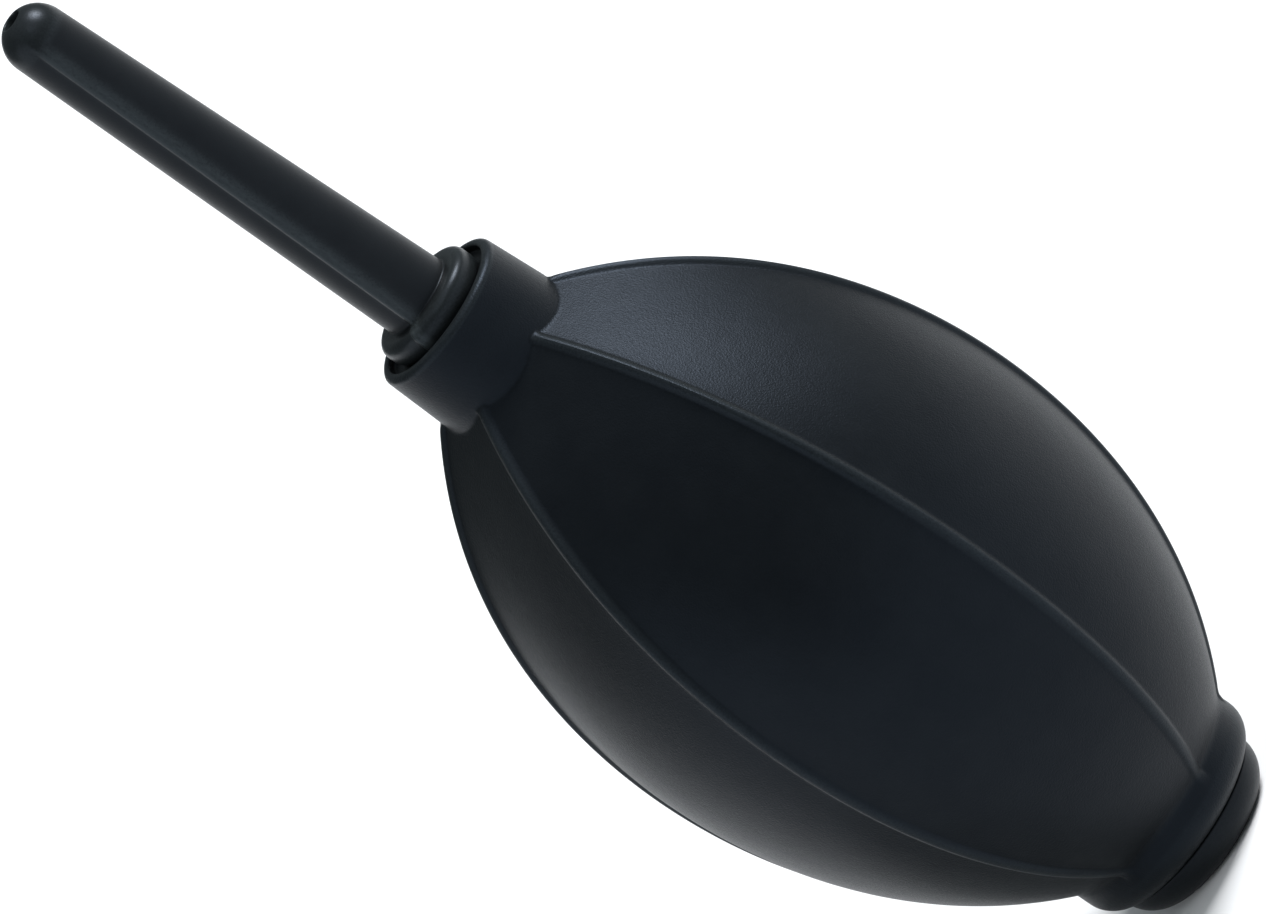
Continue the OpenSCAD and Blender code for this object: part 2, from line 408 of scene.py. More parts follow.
@dataclass(frozen=True)
class MouldedFinish(Finish):
    """Rubber or plastic moulded in a spark-eroded steel tool, whose fine matt grain it copies.

    Attributes:
        colour: Body colour.
        worn_and_highlight_colour: Colour of edges that fingers have polished, which is also a painted
            highlight on crests and ridges.
        roughness: Roughness of the matt skin.
        worn_roughness: Roughness where it is polished.
        ior: Index of refraction.
        specular: Share of the usual reflection that the broken-up skin still gives, 0.5 being all.
        tint: Colour of that reflection.
        grain: Width of one pit of the grain.
        grain_depth: Depth of the pits.
        swell: Width of the slow unevenness left by shrinking in the tool.
        swell_depth: Height of that unevenness.
    """

    colour: str
    worn_and_highlight_colour: str
    roughness: float
    worn_roughness: float
    ior: float
    specular: float
    tint: str
    grain: float
    grain_depth: float
    swell: float
    swell_depth: float

    def shade(self, tree: bpy.types.NodeTree, place: bpy.types.NodeSocket) -> bpy.types.Node:
        """Adds the finish's own nodes, as in Finish."""
        grain = add_node(tree, "ShaderNodeTexNoise", inputs={
            "Vector": place, "Scale": 1 / self.grain, "Detail": 2.0, "Roughness": 0.6}).outputs["Fac"]
        swell = add_node(tree, "ShaderNodeTexNoise", inputs={
            "Vector": place, "Scale": 1 / self.swell, "Detail": 3.0, "Roughness": 0.55}).outputs["Fac"]
        polish_and_highlight = add_node(tree, "ShaderNodeAttribute", {"attribute_name": WEAR_AND_HIGHLIGHT}).outputs["Fac"]
        # Fingers polish the high spots of the grain first, so the wear and its painted highlight are patchy
        patchy = add_node(tree, "ShaderNodeMapRange", inputs={
            "Value": grain, "From Min": 0.30, "From Max": 0.62, "To Min": 0.35, "To Max": 1.0})
        polish_and_highlight_mask = add_node(tree, "ShaderNodeMath", {"operation": "MULTIPLY"}, {
            0: polish_and_highlight, 1: patchy.outputs["Result"]}).outputs["Value"]
        drift = add_node(tree, "ShaderNodeMapRange", inputs={
            "Value": swell, "From Min": 0.30, "From Max": 0.70, "To Min": 0.82, "To Max": 1.12})
        body = add_node(tree, "ShaderNodeHueSaturation", inputs={
            "Color": linear(self.colour), "Value": drift.outputs["Result"]}).outputs["Color"]
        # Where worn, the colour turns lighter: partly real polish, partly a painted highlight on crests and
        # ridges
        colour = add_node(tree, "ShaderNodeMix", {"data_type": "RGBA"}, {
            0: polish_and_highlight_mask, COLOUR_A: body, COLOUR_B: linear(self.worn_and_highlight_colour)}).outputs[COLOUR_OUT]
        matt = add_node(tree, "ShaderNodeMapRange", inputs={
            "Value": grain, "From Min": 0.30, "From Max": 0.70,
            "To Min": self.roughness + 0.05, "To Max": self.roughness - 0.05}).outputs["Result"]
        roughness = add_node(tree, "ShaderNodeMapRange", inputs={
            "Value": polish_and_highlight_mask, "To Min": matt, "To Max": self.worn_roughness}).outputs["Result"]
        slow = add_node(tree, "ShaderNodeBump", inputs={
            "Height": swell, "Distance": self.swell_depth}).outputs["Normal"]
        fine = add_node(tree, "ShaderNodeBump", inputs={
            "Height": grain, "Distance": self.grain_depth, "Normal": slow}).outputs["Normal"]
        return add_node(tree, "ShaderNodeBsdfPrincipled", inputs={
            "Base Color": colour, "Roughness": roughness, "Normal": fine, "IOR": self.ior,
            "Specular IOR Level": self.specular, "Specular Tint": linear(self.tint)})


@dataclass(frozen=True)
class TranslucentFinish(Finish):
    """Soft or natural plastic that light soaks into, with a faint moulded swirl.

    Attributes:
        colour: Body colour.
        deep_colour: Colour where the swirl is thicker.
        roughness: Roughness of its skin.
        ior: Index of refraction.
        soak: How much of the light goes in and comes out elsewhere.
        soak_depth: How far it travels inside.
        swirl: Width of one swirl.
        swirl_depth: Height of its ripple on the skin.
    """

    colour: str
    deep_colour: str
    roughness: float
    ior: float
    soak: float
    soak_depth: float
    swirl: float
    swirl_depth: float

    def shade(self, tree: bpy.types.NodeTree, place: bpy.types.NodeSocket) -> bpy.types.Node:
        """Adds the finish's own nodes, as in Finish."""
        swirl = add_node(tree, "ShaderNodeTexNoise", inputs={
            "Vector": place, "Scale": 1 / self.swirl, "Detail": 3.0, "Distortion": 0.8}).outputs["Fac"]
        colour = add_node(tree, "ShaderNodeMix", {"data_type": "RGBA"}, {
            0: swirl, COLOUR_A: linear(self.colour), COLOUR_B: linear(self.deep_colour)})
        roughness = add_node(tree, "ShaderNodeMapRange", inputs={
            "Value": swirl, "To Min": self.roughness - 0.06, "To Max": self.roughness + 0.06})
        ripple = add_node(tree, "ShaderNodeBump", inputs={"Height": swirl, "Distance": self.swirl_depth})
        return add_node(tree, "ShaderNodeBsdfPrincipled", inputs={
            "Base Color": colour.outputs[COLOUR_OUT], "Roughness": roughness.outputs["Result"],
            "Normal": ripple.outputs["Normal"], "IOR": self.ior,
            "Subsurface Weight": self.soak, "Subsurface Scale": self.soak_depth})


@dataclass(frozen=True)
class FoamFinish(Finish):
    """Open-cell polyurethane foam: thin struts round the cells, with painted shade darkening the cells'
    hollows.

    Attributes:
        strut_colour: Colour of the struts.
        cell_shade_colour: Painted shade inside the open cells.
        cell: Width of one cell.
    """

    strut_colour: str
    cell_shade_colour: str
    cell: float

    def shade(self, tree: bpy.types.NodeTree, place: bpy.types.NodeSocket) -> bpy.types.Node:
        """Adds the finish's own nodes, as in Finish."""
        cells = add_node(tree, "ShaderNodeTexVoronoi", inputs={
            "Vector": place, "Scale": 1 / self.cell}).outputs["Distance"]
        strut = add_node(tree, "ShaderNodeMapRange", {"interpolation_type": "SMOOTHSTEP"}, {
            "Value": cells, "From Min": 0.35, "From Max": 0.62}).outputs["Result"]
        # Painted shade: the cells' hollows are much darker than the struts
        colour = add_node(tree, "ShaderNodeMix", {"data_type": "RGBA"}, {
            0: strut, COLOUR_A: linear(self.cell_shade_colour), COLOUR_B: linear(self.strut_colour)})
        pits = add_node(tree, "ShaderNodeBump", inputs={"Height": strut, "Distance": self.cell / 2})
        roughness = add_node(tree, "ShaderNodeMapRange", inputs={
            "Value": strut, "To Min": 0.95, "To Max": 0.75}).outputs["Result"]
        return add_node(tree, "ShaderNodeBsdfPrincipled", inputs={
            "Base Color": colour.outputs[COLOUR_OUT], "Roughness": roughness,
            "Normal": pits.outputs["Normal"], "IOR": 1.5, "Specular IOR Level": 0.25})


@dataclass(frozen=True)
class PaintFinish(Finish):
    """Matt wall paint put on with a roller.

    Attributes:
        colour: Its colour.
        stipple: Width of the roller's marks.
    """

    colour: str
    stipple: float

    def shade(self, tree: bpy.types.NodeTree, place: bpy.types.NodeSocket) -> bpy.types.Node:
        """Adds the finish's own nodes, as in Finish."""
        roller = add_node(tree, "ShaderNodeTexNoise", inputs={"Vector": place, "Scale": 1 / self.stipple})
        shade = add_node(tree, "ShaderNodeMapRange", inputs={
            "Value": roller.outputs["Fac"], "To Min": 0.985, "To Max": 1.0})
        paint = add_node(tree, "ShaderNodeHueSaturation", inputs={
            "Color": linear(self.colour), "Value": shade.outputs["Result"]})
        return add_node(tree, "ShaderNodeBsdfPrincipled", inputs={
            "Base Color": paint.outputs["Color"], "Roughness": 0.85, "Specular IOR Level": 0.2})


# Black natural rubber, compression moulded: soft matt skin with a fine speckle in its highlights.
# The tool's grain is finer, about 0.1 mm, and is drawn at 0.2 mm so that it still shows.
# Its lighter worn colour is partly real polish and partly a painted highlight on the rib crests.
MOULDED_RUBBER = MouldedFinish(
    name="natural_rubber_moulded_matt", colour="#0e1011", worn_and_highlight_colour="#1e2224", roughness=0.41,
    worn_roughness=0.36, ior=1.52, specular=0.15, tint="#a9c2e4", grain=0.20 * MM,
    grain_depth=0.040 * MM, swell=5 * MM, swell_depth=0.05 * MM)

# Black ABS, injection moulded: satin, a little glossier than the rubber and cooler in its shine.
# Its lighter worn colour is partly real polish and partly a painted highlight on the bead and the parting
# line.
MOULDED_ABS = MouldedFinish(
    name="abs_injection_moulded_satin", colour="#0f1112", worn_and_highlight_colour="#2b3032", roughness=0.38,
    worn_roughness=0.24, ior=1.54, specular=0.17, tint="#bccbe0", grain=0.22 * MM,
    grain_depth=0.013 * MM, swell=4 * MM, swell_depth=0.03 * MM)

# Black polypropylene, injection moulded: waxy satin, slightly greyer than the nozzle.
MOULDED_POLYPROPYLENE = MouldedFinish(
    name="polypropylene_injection_moulded_satin", colour="#101213", worn_and_highlight_colour="#1d2022",
    roughness=0.42, worn_roughness=0.34, ior=1.49, specular=0.16, tint="#b9c9e0", grain=0.25 * MM,
    grain_depth=0.010 * MM, swell=4 * MM, swell_depth=0.03 * MM)

# Natural polypropylene, injection moulded: milky, with light soaking a little way in.
NATURAL_POLYPROPYLENE = TranslucentFinish(
    name="polypropylene_natural_moulded", colour="#dcded9", deep_colour="#c9ccc6", roughness=0.42,
    ior=1.49, soak=0.35, soak_depth=0.8 * MM, swirl=2.5 * MM, swirl_depth=0.01 * MM)

# Red silicone rubber, moulded sheet: soft, slightly see-through, with a dull shine.
MOULDED_SILICONE = TranslucentFinish(
    name="silicone_rubber_moulded", colour="#c8452f", deep_colour="#b23a27", roughness=0.46,
    ior=1.41, soak=0.45, soak_depth=1.0 * MM, swirl=1.8 * MM, swirl_depth=0.008 * MM)

# Reticulated polyurethane foam: cells of half a millimetre, charcoal grey, with painted shade darkening the
# cells.
FILTER_FOAM = FoamFinish(
    name="polyurethane_foam_open_cell", strut_colour="#5a5c60", cell_shade_colour="#17181a", cell=0.5 * MM)

# Matt white emulsion, rolled: nothing to see but the faintest stipple.
WHITE_EMULSION = PaintFinish(name="white_emulsion_rolled_matt", colour="#f3f4f6", stipple=2.5 * MM)


@dataclass
class BulbMoulding:
    """The rubber bulb: ribbed belly, neck collar and tail ring in one moulding.

    Near the neck its wall runs flat from rib to rib, and lower down it turns round.
    """

    meridian_r: float = 58.5 * MM  # arc that the ribs follow from the belly to the neck
    tail_meridian_r: float = 60.0 * MM  # the slightly fuller arc from the belly to the tail
    fullness: float = 0.42 * MM  # how far the wall stands out from those arcs between belly and ends
    wall: float = 2.8 * MM
    rib: RidgedColumns = field(default_factory=lambda: RidgedColumns(
        count=6, width=1.5 * MM, height=0.45 * MM, per_ridge=15, per_panel=17))
    collar_r: float = 9.0 * MM
    collar_root_r: float = 9.3 * MM
    collar_len: float = 7.4 * MM
    collar_edge_r: float = 0.75 * MM
    collar_fillet: float = 0.3 * MM
    mouth_r: float = 7.85 * MM
    mouth_depth: float = 1.0 * MM
    neck_bore_r: float = 5.5 * MM
    spigot_len: float = 9.0 * MM
    tail_ring_r: float = 12.7 * MM
    tail_ring_len: float = 5.3 * MM
    tail_edge_r: float = 3.0 * MM
    tail_fillet: float = 0.5 * MM
    socket_r: float = 8.0 * MM
    socket_len: float = 7.5 * MM
    lip_r: float = 0.25 * MM  # small rounds where the moulding comes out of its tool
    neck_flatness: float = 1.0
    belly_flatness: float = 0.10
    rib_start: float = 3.4 * MM  # height above the tail ring's end where a rib begins to rise
    rib_full: float = 6.0 * MM  # height where it has risen fully
    rib_gap: float = 0.2 * MM  # between the rib's upper end and the collar
    rib_end: float = 0.7 * MM  # length over which that end rounds off
    tail_zone: float = 9.0 * MM  # stretch with close rings at the tail
    neck_zone: float = 5.0 * MM  # the same under the collar
    collar_zone: float = 2.2 * MM  # and on the collar's foot
    still_zone: float = 14.0 * MM  # stretch of wall under the neck
    tail_grip: float = 1.5 * MM  # stretch of wall above the socket

    def __post_init__(self) -> None:
        """Works out the heights from the frame's bulb."""
        low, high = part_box("bulb")
        self.tail_z, self.mouth_z = low.z, high.z
        self.arc_offset = self.meridian_r - high.x
        self.belly_z = self.tail_z + self.tail_ring_len + self._rise(self.tail_ring_r)
        self.collar_z = self.belly_z + self._rise(self.collar_root_r)
        self.cavity_floor_z = self.tail_z + self.socket_len
        self.cavity_top_z = self.mouth_z - self.spigot_len

    def _rise(self, radius: float) -> float:
        """Height above the belly's middle where the rib line has this radius."""
        return math.sqrt(self.meridian_r**2 - (self.arc_offset + radius) ** 2)

    def _arc_r(self, depth: float, z: float) -> float:
        """Radius at height z of the belly's arc that lies this deep under the ribs' tops."""
        fuller = self.tail_meridian_r - self.meridian_r if z < self.belly_z else 0.0
        reach = (self.meridian_r + fuller - depth) ** 2 - (z - self.belly_z) ** 2
        height = min(((z - self.belly_z) / (self.collar_z - self.belly_z)) ** 2, 1.0)
        bulge = 4 * self.fullness * height * (1 - height)
        return math.sqrt(max(reach, 0.0)) - self.arc_offset - fuller + bulge

    def _panelled(self, radius: float, z: float, angles: np.ndarray) -> np.ndarray:
        """Flattens a round wall between the ribs.

        Args:
            radius: Radius at the ribs.
            z: Height.
            angles: Angles of the columns.

        Returns:
            The radius at each column.
        """
        half = math.pi / self.rib.count
        from_middle = np.mod(angles, 2 * half) - half
        flat = math.cos(half) / np.cos(from_middle)
        share = self.belly_flatness + (self.neck_flatness - self.belly_flatness) * smoothstep(
            self.belly_z, self.collar_z, z)
        return radius * (1 - share * (1 - flat))

    def _end_r(self, z: float) -> float:
        """Radius at height z of the tail ring, or in the upper half of the collar."""
        if z < self.belly_z:
            return self.tail_ring_r
        draft = (z - self.collar_z) / (self.mouth_z - self.collar_edge_r - self.collar_z)
        return self.collar_root_r + (self.collar_r - self.collar_root_r) * min(max(draft, 0.0), 1.0)

    def _fillet(self, z: float) -> float:
        """How softly the belly runs into the tail ring or the collar."""
        return self.tail_fillet if z < self.belly_z else self.collar_fillet

    def _rib_share(self, z: float) -> float:
        """Share of the full rib height: ribs taper out on the tail ring and end short of the collar."""
        tail_taper = smoothstep(self.tail_z + self.rib_start, self.tail_z + self.rib_full, z)
        top = self.collar_z - self.rib_gap
        collar_end = 1 - smoothstep(top - self.rib_end, top, z)
        return float(tail_taper * collar_end)

    def _stations(self) -> list[Station]:
        """All rings in order: tail, outside, collar's mouth, neck, cavity and socket.

        Returns:
            The stations.
        """
        edge = self.lip_r
        profile = [Station(r, z, wear_and_highlight=0.2) for r, z in
                   arc((self.socket_r + edge, self.tail_z + edge), edge, 180, 270, 3)]
        edge_centre = (self.tail_ring_r - self.tail_edge_r, self.tail_z + self.tail_edge_r)
        profile += [Station(r, z, wear_and_highlight=0.35) for r, z in arc(edge_centre, self.tail_edge_r, -90, 0, 10)]
        shoulder_z = self.mouth_z - self.collar_edge_r
        tail_end_z, neck_start_z = self.tail_z + self.tail_zone, self.collar_z - self.neck_zone
        collar_foot_z = self.collar_z + self.collar_zone
        heights = np.concatenate([
            np.arange(edge_centre[1] + 0.4 * MM, tail_end_z, 0.3 * MM),
            np.arange(tail_end_z, neck_start_z, 0.8 * MM),
            np.arange(neck_start_z, collar_foot_z, 0.2 * MM),
            np.linspace(collar_foot_z, shoulder_z - 0.2 * MM, 7)])
        for z in heights:
            at_rib = filleted_max(self._arc_r(self.rib.height, z), self._end_r(z), self._fillet(z))
            profile.append(Station(float(at_rib), float(z), Skin.OUTSIDE))
        profile += [Station(r, z, wear_and_highlight=0.8) for r, z in
                    arc((self.collar_r - self.collar_edge_r, shoulder_z), self.collar_edge_r, 0, 90, 7)]
        profile += [Station(r, z, wear_and_highlight=0.6) for r, z in
                    arc((self.mouth_r + edge, self.mouth_z - edge), edge, 90, 180, 3)]
        seat_z = self.mouth_z - self.mouth_depth
        profile += [Station(r, z) for r, z in arc((self.mouth_r - edge, seat_z + edge), edge, 0, -90, 3)]
        profile += [Station(r, z) for r, z in
                    arc((self.neck_bore_r + edge, seat_z - edge), edge, 90, 180, 3)]
        profile += [Station(self.neck_bore_r, float(z)) for z in
                    np.linspace(seat_z - 1 * MM, self.cavity_top_z, 6)]
        for z in np.linspace(self.cavity_top_z - 0.2 * MM, self.cavity_floor_z, 60):
            radius = max(self._arc_r(self.rib.height + self.wall, z), self.neck_bore_r)
            profile.append(Station(radius, float(z), Skin.INSIDE))
        profile += [Station(self.socket_r, float(z)) for z in
                    np.linspace(self.cavity_floor_z, self.tail_z + 1 * MM, 5)]
        return profile

    def _radii(self, at: Station, angles: np.ndarray) -> np.ndarray:
        """Radius of each point of a ring.

        Args:
            at: The ring's station.
            angles: Angles of its columns.

        Returns:
            The radii.
        """
        if at.skin is Skin.OUTSIDE:
            wall = self._panelled(self._arc_r(self.rib.height, at.z), at.z, angles)
            skin = filleted_max(wall, self._end_r(at.z), self._fillet(at.z))
            return skin + self.rib.crests() * self.rib.height * self._rib_share(at.z)
        if at.skin is Skin.INSIDE:
            depth = self.rib.height + self.wall
            return np.maximum(self._panelled(self._arc_r(depth, at.z), at.z, angles), self.neck_bore_r)
        return np.full(len(angles), at.radius)

    def build(self) -> bpy.types.Object:
        """Lofts the moulding, gives it its finish and puts it in place of the frame's bulb.

        Returns:
            The bulb.
        """
        rings, wear_and_highlight = [], []
        for at in self._stations():
            angles = self.rib.angles(at.radius)
            rings.append(ring(angles, self._radii(at, angles), at.z))
            # Rib crests get the lighter worn colour: partly real polish, partly a painted highlight on the
            # ridge tops
            on_rib = self.rib.crests() * self._rib_share(at.z) if at.skin is Skin.OUTSIDE else 0.0
            wear_and_highlight.append(np.maximum(np.full(len(angles), at.wear_and_highlight), on_rib))
        piece = loft("bulb_moulding", rings, wear_and_highlight)
        piece.data.materials.append(MOULDED_RUBBER.make())
        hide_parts("bulb")
        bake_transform(piece)
        return piece


@dataclass
class NozzleMoulding:
    """The hard nozzle: tapered tube with a round tip, bead and ridged spigot, and its parting line."""

    root_r: float = 4.55 * MM
    tip_r: float = 3.75 * MM
    root_fillet: float = 0.25 * MM
    bead_len: float = 3.2 * MM
    bead_edge_r: float = 1.1 * MM
    spigot_len: float = 9.0 * MM
    spigot_r: float = 5.1 * MM
    ridge_r: float = 5.45 * MM
    ridge_w: float = 1.2 * MM
    ridge_count: int = 3
    passage_r: float = 2.0 * MM
    outlet_r: float = 1.2 * MM
    outlet_len: float = 3.4 * MM
    chamber_r: float = 4.0 * MM
    chamber_len: float = 7.0 * MM
    stop_len: float = 2.0 * MM
    stop_w: float = 0.8 * MM
    edge_r: float = 0.2 * MM
    line: RidgedColumns = field(default_factory=lambda: RidgedColumns(
        count=2, width=0.6 * MM, height=0.18 * MM, per_ridge=35, per_panel=26,
        first=math.radians(-106), bank=1.2, bank_side=0.9, reach=3.6))
    line_turn: float = math.radians(15)  # how far the line winds between the bead and the tip
    line_wear_and_highlight: float = 0.9  # how polished the line's crest is, and how much painted highlight lightens it

    def __post_init__(self) -> None:
        """Works out the heights from the frame's nozzle."""
        low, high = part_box("nozzle")
        self.end_z, self.top_z, self.bead_r = low.z, high.z, high.x
        self.bead_z = self.end_z + self.spigot_len
        self.tube_z = self.bead_z + self.bead_len
        self.tip_centre_z = self.top_z - math.sqrt(self.tip_r**2 - self.outlet_r**2)

    def _spigot(self) -> list[Station]:
        """The ridged spigot, from its lower end up to the bead."""
        edge, rings = self.edge_r, []
        pitch = (self.spigot_len - self.ridge_w) / self.ridge_count
        for i in range(self.ridge_count):
            low = self.end_z + self.ridge_w / 2 + i * pitch
            high = low + self.ridge_w
            rings += [Station(self.spigot_r, low - 0.3 * MM), Station(self.spigot_r, low)]
            rings += [Station(r, z, wear_and_highlight=0.3) for r, z in
                      arc((self.ridge_r - edge, low + edge), edge, -70, 0, 3)
                      + arc((self.ridge_r - edge, high - edge), edge, 0, 70, 3)]
            rings += [Station(self.spigot_r, high), Station(self.spigot_r, high + 0.3 * MM)]
        return rings

    def _stations(self) -> list[Station]:
        """All rings in order: spigot, bead, tube, tip, outlet, air way and valve chamber.

        Returns:
            The stations.
        """
        edge = self.edge_r
        profile = [Station(r, z) for r, z in
                   arc((self.chamber_r + edge, self.end_z + edge), edge, 180, 270, 3)
                   + arc((self.spigot_r - edge, self.end_z + edge), edge, -90, 0, 3)]
        profile += self._spigot()
        profile.append(Station(self.spigot_r, self.bead_z))
        rim = self.bead_r - self.bead_edge_r
        bead = (arc((rim, self.bead_z + self.bead_edge_r), self.bead_edge_r, -90, 0, 8)
                + arc((rim, self.tube_z - self.bead_edge_r), self.bead_edge_r, 0, 90, 8))
        # The bead's wear also paints a highlight that lightens it
        profile += [Station(r, z, Skin.RIDGED, 0.4) for r, z in bead]
        fillet = self.root_fillet
        root = arc((self.root_r + fillet, self.tube_z + fillet), fillet, 270, 180, 6)
        profile += [Station(r, z, Skin.RIDGED) for r, z in root]
        for z in np.linspace(self.tube_z + 2 * fillet, self.tip_centre_z - 0.6 * MM, 48):
            share = (z - self.tube_z) / (self.tip_centre_z - self.tube_z)
            radius = self.root_r + (self.tip_r - self.root_r) * share
            profile.append(Station(float(radius), float(z), Skin.RIDGED))
        outlet_edge = math.degrees(math.acos((self.outlet_r + edge) / self.tip_r))
        tip = arc((0.0, self.tip_centre_z), self.tip_r, 0, outlet_edge, 16)
        profile += [Station(r, z, Skin.RIDGED, 0.35) for r, z in tip]
        top_z = tip[-1][1]
        profile += [Station(r, z, wear_and_highlight=0.6) for r, z in
                    arc((self.outlet_r + edge, top_z - edge), edge, 90, 180, 3)]
        cone_z = self.top_z - self.outlet_len
        chamber_top_z = self.end_z + self.chamber_len
        profile += [Station(self.outlet_r, cone_z),
                    Station(self.passage_r, cone_z - (self.passage_r - self.outlet_r))]
        profile += [Station(self.passage_r, float(z)) for z in
                    np.linspace(cone_z - 2 * MM, chamber_top_z, 20)]
        profile += [Station(self.chamber_r, float(z)) for z in
                    np.linspace(chamber_top_z, self.end_z + 1 * MM, 6)]
        return profile

    def _stop_ribs(self) -> list[tuple[np.ndarray, list[tuple[int, ...]]]]:
        """Four small ribs that keep the lifted disc off the passage.

        Returns:
            Corners and faces of each rib.
        """
        top_z = self.end_z + self.chamber_len + 0.3 * MM
        low_z = self.end_z + self.chamber_len - self.stop_len
        inner, outer, half, cut = self.passage_r, self.chamber_r + 0.3 * MM, self.stop_w / 2, 0.15 * MM
        section = [(inner + cut, low_z), (outer, low_z), (outer, top_z), (inner, top_z),
                   (inner, low_z + cut)]
        count = len(section)
        sides = [(i, (i + 1) % count, (i + 1) % count + count, i + count) for i in range(count)]
        faces = sides + [tuple(range(count, 2 * count)), tuple(reversed(range(count)))]
        ribs = []
        for quarter in range(4):
            turn = Matrix.Rotation(math.radians(45 + 90 * quarter), 3, "Z")
            corners = [turn @ Vector((r, side, z)) for side in (half, -half) for r, z in section]
            ribs.append((np.array(corners), faces))
        return ribs

    def build(self) -> bpy.types.Object:
        """Lofts the nozzle and seats it on its own body.

        Returns:
            The nozzle.
        """
        rings, wear_and_highlight = [], []
        crests = self.line.crests()
        for at in self._stations():
            height = (at.z - self.bead_z) / (self.top_z - self.bead_z) - 0.5
            angles = self.line.angles(max(at.radius, self.outlet_r), turn=height * self.line_turn)
            on_ball = smoothstep(self.tip_centre_z - self.tip_r / 2, self.tip_centre_z + self.tip_r / 2, at.z)
            raised = crests * (1 - on_ball) if at.skin is Skin.RIDGED else 0.0 * crests
            rings.append(ring(angles, at.radius + raised * self.line.height, at.z))
            wear_and_highlight.append(np.maximum(np.full(len(angles), at.wear_and_highlight), raised * self.line_wear_and_highlight))
        piece = loft("nozzle_moulding", rings, wear_and_highlight)
        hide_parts("nozzle")
        parts = [piece]
        for number, (corners, faces) in enumerate(self._stop_ribs()):
            mesh = bpy.data.meshes.new(f"stop_rib_{number}")
            mesh.from_pydata(corners.tolist(), [], faces)
            parts.append(show(f"nozzle_stop_rib_{number}", mesh))
        for part in parts:
            part.data.materials.append(MOULDED_ABS.make())
            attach(part, Body.NOZZLE.value)
        return piece


@dataclass
class OutletValve:
    """The one-way valve in the nozzle's chamber: a pressed-in seat and a loose silicone disc."""

    def dress(self) -> list[bpy.types.Object]:
        """Gives the seat and the disc their finishes.

        Returns:
            Both pieces.
        """
        return [dress_node("outlet_valve_seat", NATURAL_POLYPROPYLENE.make()),
                dress_node("outlet_valve_disc", MOULDED_SILICONE.make())]


